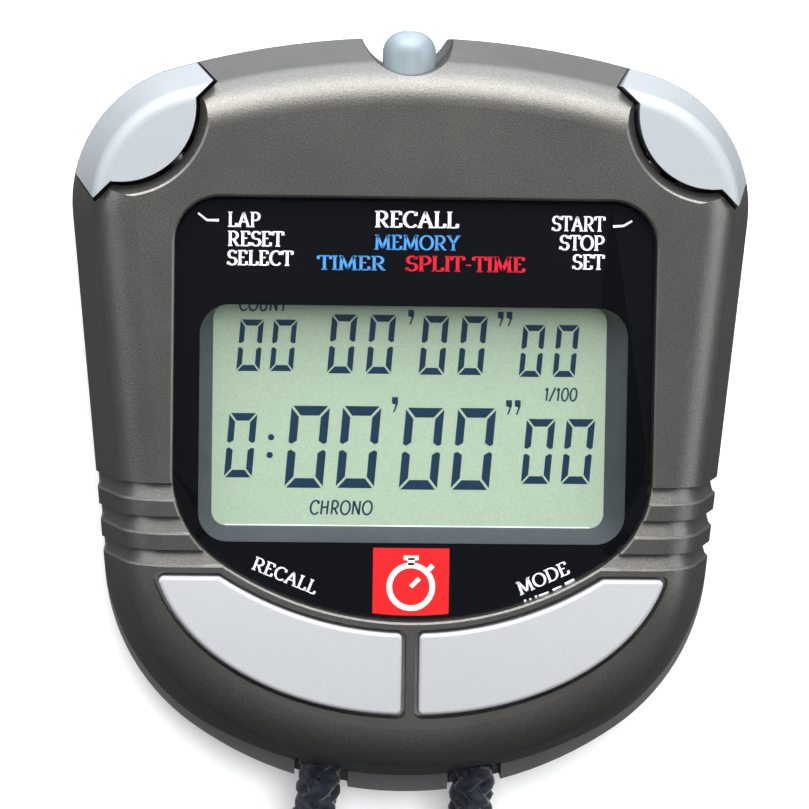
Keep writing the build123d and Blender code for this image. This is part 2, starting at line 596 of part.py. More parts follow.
# ================================================================ neck cord
def corner_radii(route):
    """The largest arc for each corner of a route: 0.45 of its shorter run on each side."""
    points = [Vector(*p) for p in route]
    radii = []
    for before, here, after in zip(points, points[1:], points[2:]):
        turn = (here - before).get_angle(after - here)
        run = min((here - before).length, (after - here).length)
        radii.append(0.45 * run / tan(radians(turn / 2)))
    return radii


def cord_tube(name, route):
    radii = corner_radii(route)
    line = FilletPolyline(*route, radius=radii)
    solid = tube(line, CORD_D / 2)
    expected = pi * CORD_D**2 / 4 * line.length
    print(name, "length", round(line.length, 1), "radii", [round(r, 1) for r in radii],
          "volume over section times length", round(solid.volume / expected, 4))
    return solid


coil = Pos(COIL_X, COIL_Y, COIL_H / 2) * (Cylinder(COIL_OUT_R, COIL_H) - Cylinder(COIL_IN_R, COIL_H))
coil = fillet(coil.edges(), 2.0)
nodes["neck_cord_coil"] = coil
loop_radius = (CORD_RIGHT_X - CORD_LEFT_X) / 2
loop = Line((CORD_LEFT_X, CORD_JOIN_Y, CORD_Z), (CORD_LEFT_X, CORD_TURN_Y, CORD_Z))
loop += ThreePointArc(
    (CORD_LEFT_X, CORD_TURN_Y, CORD_Z),
    ((CORD_LEFT_X + CORD_RIGHT_X) / 2, CORD_TURN_Y + loop_radius, CORD_Z),
    (CORD_RIGHT_X, CORD_TURN_Y, CORD_Z),
)
loop += Line((CORD_RIGHT_X, CORD_TURN_Y, CORD_Z), (CORD_RIGHT_X, CORD_JOIN_Y, CORD_Z))
loop = tube(loop, CORD_D / 2)
nodes["neck_cord_loop"] = loop
nodes["neck_cord_left"] = cord_tube("neck_cord_left", LEFT_ROUTE) - coil - loop
nodes["neck_cord_right"] = cord_tube("neck_cord_right", RIGHT_ROUTE) - coil - loop

os.makedirs("parts", exist_ok=True)
for name, shape in nodes.items():
    export_step(shape, os.path.join("parts", name + ".step"))
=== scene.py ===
import json
from math import cos, pi, radians, sin, sqrt, tan

import bmesh
import bpy
from mathutils import Matrix, Vector


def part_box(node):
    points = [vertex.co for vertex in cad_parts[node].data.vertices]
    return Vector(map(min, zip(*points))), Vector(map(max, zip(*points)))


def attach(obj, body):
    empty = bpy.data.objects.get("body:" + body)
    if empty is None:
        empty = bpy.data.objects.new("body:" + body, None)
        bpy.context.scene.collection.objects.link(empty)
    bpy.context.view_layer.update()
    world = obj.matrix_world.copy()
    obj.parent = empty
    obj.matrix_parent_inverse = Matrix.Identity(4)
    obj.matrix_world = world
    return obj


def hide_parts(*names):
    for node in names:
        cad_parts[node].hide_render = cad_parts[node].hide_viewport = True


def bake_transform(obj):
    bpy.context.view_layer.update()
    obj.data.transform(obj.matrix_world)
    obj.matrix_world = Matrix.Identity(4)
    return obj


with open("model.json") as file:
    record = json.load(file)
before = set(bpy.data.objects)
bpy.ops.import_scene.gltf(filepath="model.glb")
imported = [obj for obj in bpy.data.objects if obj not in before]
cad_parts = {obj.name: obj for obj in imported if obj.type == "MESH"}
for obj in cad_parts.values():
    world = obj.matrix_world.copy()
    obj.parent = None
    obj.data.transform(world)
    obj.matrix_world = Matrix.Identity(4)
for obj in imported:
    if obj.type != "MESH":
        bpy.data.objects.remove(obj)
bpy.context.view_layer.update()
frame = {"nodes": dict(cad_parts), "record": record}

# Looks of a handheld digital stopwatch that lies on its back. Metres, in the CAD model's frame:
# X is its width, +Y points to the top button and +Z out of the display.
MM = 0.001
scene = bpy.context.scene
nodes = frame["nodes"]

parting_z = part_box("front_case")[0].z
mask_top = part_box("window_mask")[1].z
display_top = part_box("lcd_front_glass")[1].z


# ---------------------------------------------------------------- camera
def aim(thing, target, direction, distance, up):
    """Puts a camera or lamp at a distance from the target, along a direction, looking at the target."""
    back = Vector(direction).normalized()
    right = Vector(up).cross(back).normalized()
    above = back.cross(right)
    thing.matrix_world = Matrix(
        [
            [right.x, above.x, back.x, target.x + back.x * distance],
            [right.y, above.y, back.y, target.y + back.y * distance],
            [right.z, above.z, back.z, target.z + back.z * distance],
            [0, 0, 0, 1],
        ]
    )


SIDE_TILT, TOP_TILT, ROLL = radians(2.7), radians(5.0), radians(0.85)
CAMERA_DISTANCE = 400 * MM
FIELD = 83.87 * MM                      # width of the view at the parting line
TARGET = Vector((-0.45 * MM, 1.2 * MM, parting_z))

camera_data = bpy.data.cameras.new("camera")
camera_data.sensor_width = 36
camera_data.lens = camera_data.sensor_width * CAMERA_DISTANCE / FIELD
camera = bpy.data.objects.new("camera", camera_data)
scene.collection.objects.link(camera)
scene.camera = camera
aim(camera, TARGET, (-tan(SIDE_TILT), tan(TOP_TILT), 1), CAMERA_DISTANCE, (-sin(ROLL), cos(ROLL), 0))


# ---------------------------------------------------------------- light and floor
def softbox(name, direction, distance, size, power, colour=(1, 1, 1)):
    """A rectangular lamp at a distance in a direction from the object, aimed at it."""
    lamp = bpy.data.lights.new(name, "AREA")
    lamp.shape = "RECTANGLE"
    lamp.size, lamp.size_y = size
    lamp.energy = power
    lamp.color = colour
    thing = bpy.data.objects.new(name, lamp)
    scene.collection.objects.link(thing)
    aim(thing, TARGET, direction, distance, (1, 0, 0.01))
    return thing


softbox("key_light", (0, 1, 0.75), 0.6, (0.45, 0.9), 4.5, (1, 0.985, 0.95))
softbox("side_light", (-1, 0.3, 0.5), 0.7, (0.4, 0.5), 1.0, (0.9, 0.96, 1))
softbox("right_light", (1, 0.1, 0.35), 0.7, (0.4, 0.5), 1.3, (0.92, 0.97, 1))
overhead = softbox("overhead_light", (0.1, 0.25, 1), 0.8, (0.5, 0.5), 8.0)
overhead.visible_glossy = False

# Studio: a bright wall beyond the object's top, dark below its bottom, and a dim ceiling.
STUDIO = (
    (0.00, (0.025, 0.028, 0.034)),
    (0.44, (0.06, 0.064, 0.07)),
    (0.50, (0.11, 0.112, 0.115)),
    (0.70, (0.20, 0.205, 0.215)),
    (0.80, (0.45, 0.47, 0.51)),
    (0.89, (2.3, 2.45, 2.65)),
    (1.00, (2.6, 2.75, 2.95)),
)
world = bpy.data.worlds.new("studio")
scene.world = world
world.use_nodes = True
sky = world.node_tree.nodes
sky_links = world.node_tree.links
sky_place = sky.new("ShaderNodeTexCoord")
sky_split = sky.new("ShaderNodeSeparateXYZ")
sky_range = sky.new("ShaderNodeMapRange")
sky_range.inputs["From Min"].default_value = -1
sky_ramp = sky.new("ShaderNodeValToRGB")
stops = sky_ramp.color_ramp.elements
while len(stops) < len(STUDIO):
    stops.new(0.5)
for stop, (position, colour) in zip(stops, STUDIO):
    stop.position = position
    stop.color = (*colour, 1)
sky_links.new(sky_place.outputs["Generated"], sky_split.inputs[0])
sky_links.new(sky_split.outputs["Y"], sky_range.inputs["Value"])
sky_links.new(sky_range.outputs["Result"], sky_ramp.inputs["Fac"])
sky_links.new(sky_ramp.outputs["Color"], sky["Background"].inputs["Color"])
scene.view_settings.view_transform = "Standard"

bpy.ops.mesh.primitive_plane_add(size=3, location=(0, 0, -0.05 * MM))
floor = bpy.context.object
floor.name = "floor"
floor.visible_glossy = False


# ---------------------------------------------------------------- materials
class Paint:
    """A Principled material that is built up node by node. Texture places are the piece's own, in metres."""

    def __init__(self, name, colour, roughness=0.5, metallic=0.0, **sockets):
        self.material = bpy.data.materials.new(name)
        self.material.use_nodes = True
        self.tree = self.material.node_tree
        self.shader = self.tree.nodes["Principled BSDF"]
        self.colour = colour
        self.set("Base Color", (*colour, 1))
        self.set("Roughness", roughness)
        self.set("Metallic", metallic)
        for socket, value in sockets.items():
            self.set(socket.replace("_", " "), value)
        self.place = self.node("ShaderNodeTexCoord").outputs["Object"]
        self.bump = None

    def set(self, socket, value):
        self.shader.inputs[socket].default_value = value

    def node(self, kind, **values):
        made = self.tree.nodes.new(kind)
        for name, value in values.items():
            setattr(made, name, value)
        return made

    def link(self, start, end):
        self.tree.links.new(start, end)

    def noise(self, grain_mm, detail=2.0, stretch=(1, 1, 1)):
        """Noise whose lumps are about this many millimetres across."""
        texture = self.node("ShaderNodeTexNoise")
        texture.inputs["Scale"].default_value = 1 / (grain_mm * MM)
        texture.inputs["Detail"].default_value = detail
        mapping = self.node("ShaderNodeMapping")
        mapping.inputs["Scale"].default_value = stretch
        self.link(self.place, mapping.inputs["Vector"])
        self.link(mapping.outputs["Vector"], texture.inputs["Vector"])
        return texture.outputs["Fac"]

    def spread(self, value, low, high, start=0.3, end=0.7):
        """The value taken from start..end to low..high."""
        ranged = self.node("ShaderNodeMapRange")
        for socket, number in zip(("From Min", "From Max", "To Min", "To Max"), (start, end, low, high)):
            ranged.inputs[socket].default_value = number
        self.link(value, ranged.inputs["Value"])
        return ranged.outputs["Result"]

    def vary_colour(self, value, low, high):
        """Base colour between low and high times the material's own, by a value."""
        # Inputs 6 and 7 and output 2 of the mix are its colours, which share their names with its numbers.
        mix = self.node("ShaderNodeMix", data_type="RGBA")
        mix.inputs[6].default_value = (*[c * low for c in self.colour], 1)
        mix.inputs[7].default_value = (*[c * high for c in self.colour], 1)
        self.link(self.spread(value, 0, 1), mix.inputs[0])
        self.link(mix.outputs[2], self.shader.inputs["Base Color"])

    def vary_roughness(self, value, low, high):
        """Roughness between low and high, by a value."""
        self.link(self.spread(value, low, high), self.shader.inputs["Roughness"])

    def raise_by(self, value, height_mm):
        """Bump of this height, on top of the bump that is there."""
        bump = self.node("ShaderNodeBump")
        bump.inputs["Distance"].default_value = height_mm * MM
        self.link(value, bump.inputs["Height"])
        if self.bump:
            self.link(self.bump.outputs["Normal"], bump.inputs["Normal"])
        self.link(bump.outputs["Normal"], self.shader.inputs["Normal"])
        self.bump = bump


def lacquer(name, colour, roughness, metallic, flake_mm, flake_height, contrast):
    """Metallic lacquer: fine flakes, and faint clouds from the spray."""
    paint = Paint(name, colour, roughness, metallic)
    flakes = paint.noise(flake_mm, 1.0)
    clouds = paint.noise(6.0, 3.0)
    paint.vary_colour(flakes, 1 - contrast, 1 + contrast)
    paint.vary_roughness(clouds, roughness - 0.03, roughness + 0.04)
    paint.raise_by(flakes, flake_height)
    return paint.material


def moulded(name, colour, roughness, grain_mm=0.35, height=0.006):
    """Moulded plastic or rubber with a fine texture from the mould."""
    paint = Paint(name, colour, roughness)
    paint.vary_colour(paint.noise(3.0, 3.0), 0.93, 1.07)
    paint.vary_roughness(paint.noise(1.1, 2.0), roughness - 0.05, roughness + 0.05)
    paint.raise_by(paint.noise(grain_mm, 2.0), height)
    return paint.material


def metal(name, colour, roughness, stretch=(1, 1, 12)):
    """Bare metal with fine drawn or turned lines."""
    paint = Paint(name, colour, roughness, 1.0)
    lines = paint.noise(0.8, 4.0, stretch)
    paint.vary_colour(lines, 0.92, 1.06)
    paint.vary_roughness(lines, roughness - 0.06, roughness + 0.08)
    paint.raise_by(lines, 0.002)
    return paint.material


def clear_pane(name):
    """Clear plate: light goes straight through, and both sides of its faces mirror at low angles."""
    paint = Paint(name, (1, 1, 1))
    paint.tree.nodes.remove(paint.shader)
    through = paint.node("ShaderNodeBsdfTransparent")
    through.inputs["Color"].default_value = (0.97, 0.985, 1, 1)
    mirror = paint.node("ShaderNodeBsdfGlossy")
    mirror.inputs["Roughness"].default_value = 0.03
    facing = paint.node("ShaderNodeLayerWeight")
    facing.inputs["Blend"].default_value = 0.5
    steep = paint.node("ShaderNodeMath", operation="POWER")
    steep.inputs[1].default_value = 5
    paint.link(facing.outputs["Facing"], steep.inputs[0])
    mix = paint.node("ShaderNodeMixShader")
    bump = paint.node("ShaderNodeBump")
    bump.inputs["Distance"].default_value = 0.0006 * MM
    paint.link(paint.noise(2.5, 2.0), bump.inputs["Height"])
    paint.link(bump.outputs["Normal"], mirror.inputs["Normal"])
    paint.link(paint.spread(steep.outputs[0], 0.04, 1, 0, 1), mix.inputs[0])    # 4% when seen square on
    paint.link(through.outputs[0], mix.inputs[1])
    paint.link(mirror.outputs[0], mix.inputs[2])
    paint.link(mix.outputs[0], paint.tree.nodes["Material Output"].inputs["Surface"])
    return paint.material


def display_film(name):
    """The display's reflective film: pale green, with a fine grain and a faint cloudiness."""
    paint = Paint(name, (0.345, 0.42, 0.295), 0.45, Specular_IOR_Level=0.3)
    grain = paint.noise(0.22, 2.0)
    paint.vary_colour(grain, 0.93, 1.07)
    paint.vary_roughness(paint.noise(4.0, 2.0), 0.4, 0.5)
    paint.raise_by(grain, 0.003)
    return paint.material


def braid_yarn(name):
    """Black polyester yarn: fine fibres along the strands, with a dull sheen."""
    paint = Paint(name, (0.012, 0.015, 0.022), 0.55, Sheen_Weight=0.25, Sheen_Roughness=0.4)
    fibres = paint.noise(0.16, 3.0)
    paint.vary_colour(paint.noise(1.2, 2.0), 0.6, 1.7)
    paint.vary_roughness(fibres, 0.4, 0.65)
    paint.raise_by(fibres, 0.03)
    return paint.material


def ink(name, colour, roughness=0.5, specular=0.3):
    """Screen-printed ink, not quite even."""
    paint = Paint(name, colour, roughness, Specular_IOR_Level=specular)
    paint.vary_colour(paint.noise(0.4, 2.0), 0.9, 1.06)
    return paint.material


def floor_finish():
    """White paper that glows a little, so that it stays white in the view."""
    paint = Paint("floor_paper", (0.9, 0.9, 0.9), 0.9)
    paint.vary_colour(paint.noise(60, 2.0), 0.995, 1.005)
    paint.set("Emission Color", (1, 1, 1, 1))
    paint.set("Emission Strength", 0.15)
    return paint.material


floor.data.materials.append(floor_finish())

slots = {
    "case_gunmetal": lacquer("gunmetal_lacquer", (0.195, 0.187, 0.173), 0.38, 0.86, 0.16, 0.022, 0.18),
    "rear_case_grey": moulded("rear_case_plastic", (0.085, 0.087, 0.088), 0.5),
    "seal_rubber": moulded("seal_rubber", (0.02, 0.02, 0.02), 0.7),
    "window_clear": clear_pane("window_clear"),
    "mask_black": ink("window_black_print", (0.0028, 0.0032, 0.0045), 0.5, 0.06),
    "bezel_grey": moulded("bezel_plastic", (0.055, 0.056, 0.07), 0.45, 0.2, 0.003),
    "display_green": display_film("display_film"),
    "backlight_white": moulded("backlight_panel", (0.75, 0.78, 0.75), 0.6),
    "contact_rubber": moulded("contact_strip_rubber", (0.1, 0.1, 0.11), 0.7),
    "board_green": moulded("solder_resist", (0.02, 0.12, 0.06), 0.35, 0.6),
    "screw_steel": metal("screw_steel", (0.55, 0.55, 0.56), 0.35, (1, 1, 1)),
    "chip_black": moulded("chip_epoxy", (0.02, 0.02, 0.022), 0.6),
    "crystal_can": metal("crystal_can", (0.7, 0.7, 0.72), 0.2),
    "coil_copper": metal("coil_copper", (0.5, 0.22, 0.1), 0.35),
    "capacitor_tan": moulded("capacitor_ceramic", (0.45, 0.33, 0.2), 0.55),
    "cell_steel": metal("cell_steel", (0.62, 0.62, 0.63), 0.25, (1, 1, 1)),
    "contact_brass": metal("contact_brass", (0.65, 0.5, 0.22), 0.3),
    "buzzer_brass": metal("buzzer_brass", (0.6, 0.45, 0.2), 0.35),
    "spring_steel": metal("spring_steel", (0.5, 0.5, 0.52), 0.3),
    "keypad_rubber": moulded("keypad_rubber", (0.08, 0.08, 0.085), 0.65),
    "key_silver": lacquer("key_lacquer", (0.42, 0.43, 0.445), 0.5, 0.3, 0.2, 0.004, 0.03),
    "button_silver": lacquer("button_lacquer", (0.335, 0.357, 0.38), 0.45, 0.25, 0.2, 0.003, 0.03),
    "top_button_steel": lacquer("top_button_nickel", (0.24, 0.285, 0.315), 0.42, 0.35, 0.2, 0.002, 0.03),
    "stem_steel": metal("stem_steel", (0.55, 0.55, 0.57), 0.3),
    "clip_steel": metal("clip_steel", (0.35, 0.35, 0.37), 0.4),
    "cord_braid": braid_yarn("cord_yarn"),
}


# ---------------------------------------------------------------- CAD nodes
def finish_node(node, slot):
    """Material on a CAD node, and smooth shading between its sharp edges."""
    thing = nodes[node]
    thing.data.materials.clear()
    thing.data.materials.append(slots[slot])
    thing.data.shade_smooth()
    thing.data.set_sharp_from_angle(angle=radians(28))


for subpart in frame["record"]["subparts"]:
    finish_node(subpart["node"], subpart["material_slot"])


def return_spring(button, node):
    """A copy of a button's spring, named after the button, in place of the CAD spring, which is hidden."""
    spring = bpy.data.objects.new(button + "_return_spring", nodes[node].data.copy())
    scene.collection.objects.link(spring)
    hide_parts(node)
    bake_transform(spring)


return_spring("start_stop_button", "start_stop_spring")
return_spring("lap_reset_button", "lap_reset_spring")
return_spring("light_button", "light_button_spring")


# ---------------------------------------------------------------- printing and display
def flat_piece(name, faces, finish, height):
    """A thin printed piece: faces given as rings of (x, y) in millimetres, at one height in metres."""
    mesh = bmesh.new()
    for ring in faces:
        mesh.faces.new([mesh.verts.new((x * MM, y * MM, height)) for x, y in ring])
    for face in mesh.faces:
        face.normal_update()
        if face.normal.z < 0:
            face.normal_flip()
    data = bpy.data.meshes.new(name)
    mesh.to_mesh(data)
    mesh.free()
    data.materials.append(finish)
    piece = bpy.data.objects.new(name, data)
    scene.collection.objects.link(piece)
    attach(piece, "case")


def bow(x, y, wide, high, start, end):
    """Part of an ellipse as points, from one angle to another in degrees."""
    steps = max(3, round(abs(end - start) / 15))
    angles = [radians(start + (end - start) * step / steps) for step in range(steps + 1)]
    return [(x + wide * cos(a), y + high * sin(a)) for a in angles]


def stem(x, low=0.0, high=1.0):
    """An upright stroke of a letter."""
    return [(x, low), (x, high)]


# Letters one unit high: width, strokes, and the feet as (x, y, half width).
BOWL = [(0.17, 1.0), (0.32, 1.0), *bow(0.34, 0.72, 0.26, 0.28, 90, -90), (0.17, 0.44)]
TOP_BEAK = [(0.53, 1.0), (0.55, 0.78)]
LOW_BEAK = [(0.55, 0.0), (0.58, 0.24)]
LETTERS = {
    "A": (0.80, [[(0.10, 0), (0.40, 1)], [(0.38, 1), (0.70, 0)], [(0.20, 0.34), (0.60, 0.34)]],
          [(0.11, 0, 0.12), (0.69, 0, 0.13)]),
    "C": (0.76, [bow(0.43, 0.5, 0.34, 0.5, 48, 318), [(0.67, 0.98), (0.66, 0.74)]], []),
    "D": (0.80, [stem(0.17), [(0.17, 1.0), *bow(0.34, 0.5, 0.38, 0.5, 90, -90), (0.17, 0.0)]],
          [(0.13, 0, 0.1), (0.13, 1, 0.1)]),
    "E": (0.66, [stem(0.17), [(0.17, 1), (0.53, 1)], [(0.17, 0.53), (0.44, 0.53)], [(0.17, 0), (0.55, 0)],
                 TOP_BEAK, LOW_BEAK], [(0.13, 0, 0.1), (0.13, 1, 0.1)]),
    "H": (0.80, [stem(0.17), stem(0.62), [(0.17, 0.52), (0.62, 0.52)]],
          [(0.17, 0, 0.12), (0.17, 1, 0.12), (0.62, 0, 0.12), (0.62, 1, 0.12)]),
    "I": (0.34, [stem(0.17)], [(0.17, 0, 0.13), (0.17, 1, 0.13)]),
    "L": (0.64, [stem(0.17), [(0.17, 0), (0.55, 0)], LOW_BEAK], [(0.13, 0, 0.1), (0.17, 1, 0.13)]),
    "M": (0.98, [[(0.14, 0), (0.18, 1)], [(0.18, 1), (0.48, 0.08)], [(0.48, 0.08), (0.78, 1)],
                 [(0.78, 1), (0.83, 0)]],
          [(0.13, 0, 0.12), (0.83, 0, 0.13), (0.14, 1, 0.1), (0.83, 1, 0.1)]),
    "N": (0.84, [stem(0.17), [(0.17, 1), (0.66, 0)], stem(0.66)],
          [(0.17, 0, 0.12), (0.13, 1, 0.12), (0.66, 1, 0.12)]),
    "O": (0.84, [bow(0.42, 0.5, 0.35, 0.5, 0, 360)], []),
    "P": (0.68, [stem(0.17), BOWL], [(0.17, 0, 0.13), (0.13, 1, 0.1)]),
    "R": (0.76, [stem(0.17), BOWL, [(0.36, 0.44), (0.62, 0)]],
          [(0.17, 0, 0.13), (0.13, 1, 0.1), (0.66, 0, 0.07)]),
    "S": (0.62, [bow(0.31, 0.745, 0.21, 0.255, 30, 265) + bow(0.31, 0.25, 0.24, 0.25, 85, -150),
                 [(0.51, 0.98), (0.5, 0.8)], [(0.07, 0.02), (0.08, 0.22)]], []),
    "T": (0.70, [[(0.05, 1), (0.65, 1)], stem(0.35), [(0.05, 1), (0.04, 0.76)], [(0.65, 1), (0.66, 0.76)]],
          [(0.35, 0, 0.14)]),
    "U": (0.82, [[(0.17, 1), (0.17, 0.34), *bow(0.41, 0.32, 0.24, 0.32, 180, 360), (0.65, 1)]],
          [(0.17, 1, 0.12), (0.65, 1, 0.12)]),
    "Y": (0.74, [[(0.10, 1), (0.38, 0.46)], [(0.66, 1), (0.38, 0.46)], stem(0.38, 0, 0.46)],
          [(0.11, 1, 0.12), (0.65, 1, 0.12), (0.38, 0, 0.13)]),
    "0": (0.68, [bow(0.34, 0.5, 0.25, 0.5, 0, 360)], []),
    "1": (0.46, [stem(0.27), [(0.27, 1), (0.1, 0.8)]], []),
    "/": (0.46, [[(0.06, -0.05), (0.42, 1.05)]], []),
    "-": (0.42, [[(0.08, 0.42), (0.34, 0.42)]], []),
}


def stroke_faces(points, thin, thick):
    """Quads along a stroke that is thick where it runs upright and thin where it runs level."""
    faces = []
    closed = (Vector(points[0]) - Vector(points[-1])).length < 0.001
    directions = [(Vector(b) - Vector(a)).normalized() for a, b in zip(points, points[1:])]
    rims = []
    for step, point in enumerate(points):
        before = directions[step - 1] if step or closed else directions[0]
        last = step == len(directions)
        after = directions[-1] if last and not closed else directions[step % len(directions)]
        along = (before + after).normalized()
        half = (thin + (thick - thin) * abs(along.y)) / 2
        across = Vector((-along.y, along.x)) * half
        rims.append((Vector(point) + across, Vector(point) - across))
    for first, second in zip(rims, rims[1:]):
        faces.append((first[0], first[1], second[1], second[0]))
    return faces


def word(name, text, place, cap, finish, slot, height, length, angle=0.0, anchor="left",
         thin=0.085, thick=0.17, serifs=True, slant=0.0):
    """A printed word. place is the anchor on its baseline, cap its capital height, in millimetres.
    thin and thick are its strokes' widths and slant its lean, as shares of that height."""
    faces = []
    reach = 0.0
    for letter in text:
        width, strokes, feet = LETTERS[letter]
        quads = [quad for stroke in strokes for quad in stroke_faces(stroke, thin, thick)]
        if serifs:
            for x, y, half in feet:
                quads += stroke_faces([(x - half, y), (x + half, y)], thin, thick)
        faces += [[(reach + x + y * slant, y) for x, y in quad] for quad in quads]
        reach += width
    scale = length / (cap * reach)
    shift = {"left": 0.0, "middle": reach / 2, "right": reach}[anchor]
    turned = []
    for face in faces:
        ring = []
        for x, y in face:
            u, v = (x - shift) * cap * scale, y * cap
            right = u * cos(angle) - v * sin(angle)
            up = u * sin(angle) + v * cos(angle)
            ring.append((place[0] + right, place[1] + up))
        turned.append(ring)
    flat_piece(name, turned, finish, height)


PRINT_THICK = 0.012 * MM
PRINT = mask_top + PRINT_THICK
white_ink = ink("white_print", (0.95, 0.95, 0.95))
blue_ink = ink("blue_print", (0.06, 0.26, 0.6))
red_ink = ink("red_print", (0.6, 0.008, 0.025))
badge_ink = ink("badge_print", (0.6, 0.012, 0.013))

CAP = 1.42
LINES_Y = (19.85, 17.93, 16.0)
LEFT_X, RIGHT_X = -18.98, 19.05
for line_y, left, left_long, right, right_long in zip(
    LINES_Y,
    ("LAP", "RESET", "SELECT"), (3.3, 5.65, 6.6),
    ("START", "STOP", "SET"), (5.35, 4.55, 3.2),
):
    word("print_" + left.lower(), left, (LEFT_X, line_y), CAP, white_ink, "mask_black", PRINT, left_long)
    word("print_" + right.lower(), right, (RIGHT_X, line_y), CAP, white_ink, "mask_black", PRINT, right_long,
         anchor="right")

word("print_recall", "RECALL", (0.04, 20.0), 1.55, white_ink, "mask_black", PRINT, 8.5, anchor="middle")
word("print_memory", "MEMORY", (0.1, 17.75), 1.4, blue_ink, "mask_black", PRINT, 8.6, anchor="middle",
     thick=0.15)
word("print_timer", "TIMER", (-9.9, 15.65), 1.35, blue_ink, "mask_black", PRINT, 6.9, thick=0.15)
word("print_split_time", "SPLIT-TIME", (11.1, 15.62), 1.45, red_ink, "mask_black", PRINT, 12.1,
     anchor="right")
KEY_WORD = {"thin": 0.075, "thick": 0.14}
word("print_recall_key", "RECALL", (-16.25, -14.75), 1.3, white_ink, "mask_black", PRINT, 7.0,
     radians(-22.0), **KEY_WORD)
word("print_mode_key", "MODE", (11.15, -17.25), 1.3, white_ink, "mask_black", PRINT, 5.6,
     radians(24.6), **KEY_WORD)

# Short lines from the words to the two corner buttons.
leaders = []
for points in (
    ((-21.95, 21.15), (-21.05, 20.45), (-19.85, 20.45)),
    ((21.8, 20.9), (20.95, 20.4), (19.9, 20.33)),
):
    leaders += stroke_faces(points, 0.26, 0.12)
flat_piece("print_leaders", leaders, white_ink, PRINT)

# Dots and dashes under the right key's word.
UNDERLINE = (
    ((11.55, -17.85), (11.75, -17.77)),
    ((12.1, -17.72), (12.28, -17.62)),
    ((12.65, -17.42), (12.85, -17.33)),
    ((13.05, -17.3), (14.03, -16.93)),
    ((14.45, -16.7), (15.33, -16.32)),
    ((15.67, -16.05), (16.6, -15.58)),
)
flat_piece("print_underline", [face for run in UNDERLINE for face in stroke_faces(run, 0.17, 0.17)],
           white_ink, PRINT)

BADGE_HALF, BADGE_TOP = 3.87, -12.55
BADGE_ARC, BADGE_ARC_Y = 34.25, 14.8
ARC_STEPS = 4


def badge_ring(top, half):
    """The badge's outline, whose lower edge follows the window's."""
    places = [half * step / ARC_STEPS for step in range(-ARC_STEPS, ARC_STEPS + 1)]
    low = [(x, BADGE_ARC_Y - sqrt(BADGE_ARC**2 - x**2)) for x in places]
    return [(half, top), (-half, top)] + low


flat_piece("badge", [badge_ring(BADGE_TOP, BADGE_HALF)], badge_ink, PRINT)
WATCH_Y, WATCH_R = -16.5, 2.2
STEM_LOW, STEM_TOP = WATCH_Y + WATCH_R, WATCH_Y + WATCH_R + 0.75
pictogram = stroke_faces(bow(0, WATCH_Y, WATCH_R, WATCH_R, 0, 360), 0.55, 0.55)
for start, end, wide in (
    ((0, STEM_LOW), (0, STEM_TOP), 0.7),                               # stem
    ((-0.75, STEM_TOP), (0.75, STEM_TOP), 0.45),                       # top button
    ((1.7, WATCH_Y + 1.7), (2.2, WATCH_Y + 2.2), 0.5),                 # side button
    ((0, WATCH_Y), (0.85, WATCH_Y + 0.85), 0.42),                      # hand
):
    pictogram += stroke_faces([start, end], wide, wide)
flat_piece("badge_pictogram", pictogram, white_ink, PRINT + 0.01 * MM)

DIGIT = display_top + PRINT_THICK
SLANT = tan(radians(4.5))
segment_ink = ink("display_segment", (0.008, 0.028, 0.055), 0.4)


def zero(x, y, wide, high):
    """The six lit segments of a seven-segment zero, centred at (x, y)."""
    half, tall = wide / 2, high / 2
    side, level = 0.1 * high, 0.118 * high
    gap, middle = 0.02 * high, 0.035 * high
    lying = [(-half + gap, tall), (half - gap, tall), (half - side - gap, tall - level),
             (-half + side + gap, tall - level)]
    upright = [(-half, tall - gap), (-half + side, tall - level - gap), (-half + side, middle + 0.4 * side),
               (-half + 0.4 * side, middle), (-half, middle + 0.2 * side)]
    faces = []
    for flip_x, flip_y, ring in (
        (1, 1, lying), (1, -1, lying),
        (1, 1, upright), (-1, 1, upright), (1, -1, upright), (-1, -1, upright),
    ):
        faces.append([(x + flip_x * u + flip_y * v * SLANT, y + flip_y * v) for u, v in ring])
    return faces


def tick(x, y, high):
    """An apostrophe: a small block with a tapering tail. Its top left is at (x, y)."""
    wide = 0.4 * high
    return [[(x, y), (x + wide, y), (x + wide, y - 0.42 * high), (x + 0.45 * wide, y - high),
             (x + 0.2 * wide, y - high), (x + 0.6 * wide, y - 0.5 * high), (x, y - 0.42 * high)]]


# The upper row of zeros, then the lower row: centre, width and height.
digits = []
for x, y, wide, high in (
    (-16.55, 7.55, 2.38, 5.27), (-13.15, 7.58, 2.38, 5.27),
    (-7.15, 7.8, 2.58, 6.04), (-3.2, 7.8, 2.58, 6.04), (2.22, 7.76, 2.58, 6.04), (6.18, 7.78, 2.58, 6.04),
    (12.3, 7.3, 2.27, 5.34), (15.78, 7.33, 2.27, 5.34),
    (-17.4, -2.7, 2.85, 6.62), (-10.6, -2.8, 3.92, 8.43), (-5.34, -2.77, 3.92, 8.43),
    (1.12, -2.88, 3.92, 8.43), (6.45, -2.85, 3.92, 8.43), (13.1, -3.03, 2.93, 6.7), (17.2, -3.0, 2.93, 6.7),
):
    digits += zero(x, y, wide, high)
for x, y, high in ((-0.45, 11.35, 1.5), (8.72, 11.28, 1.5), (9.62, 11.28, 1.5),
                   (-1.98, 2.4, 1.55), (9.72, 2.22, 1.5), (10.62, 2.22, 1.5)):
    digits += tick(x, y, high)
COLON_R = 0.33
for x, y in ((-14.3, -1.85), (-14.42, -3.68)):
    digits.append(bow(x, y, COLON_R, COLON_R, 0, 345))
flat_piece("display_digits", digits, segment_ink, DIGIT)
SANS = {"thin": 0.13, "thick": 0.15, "serifs": False, "slant": 0.1}
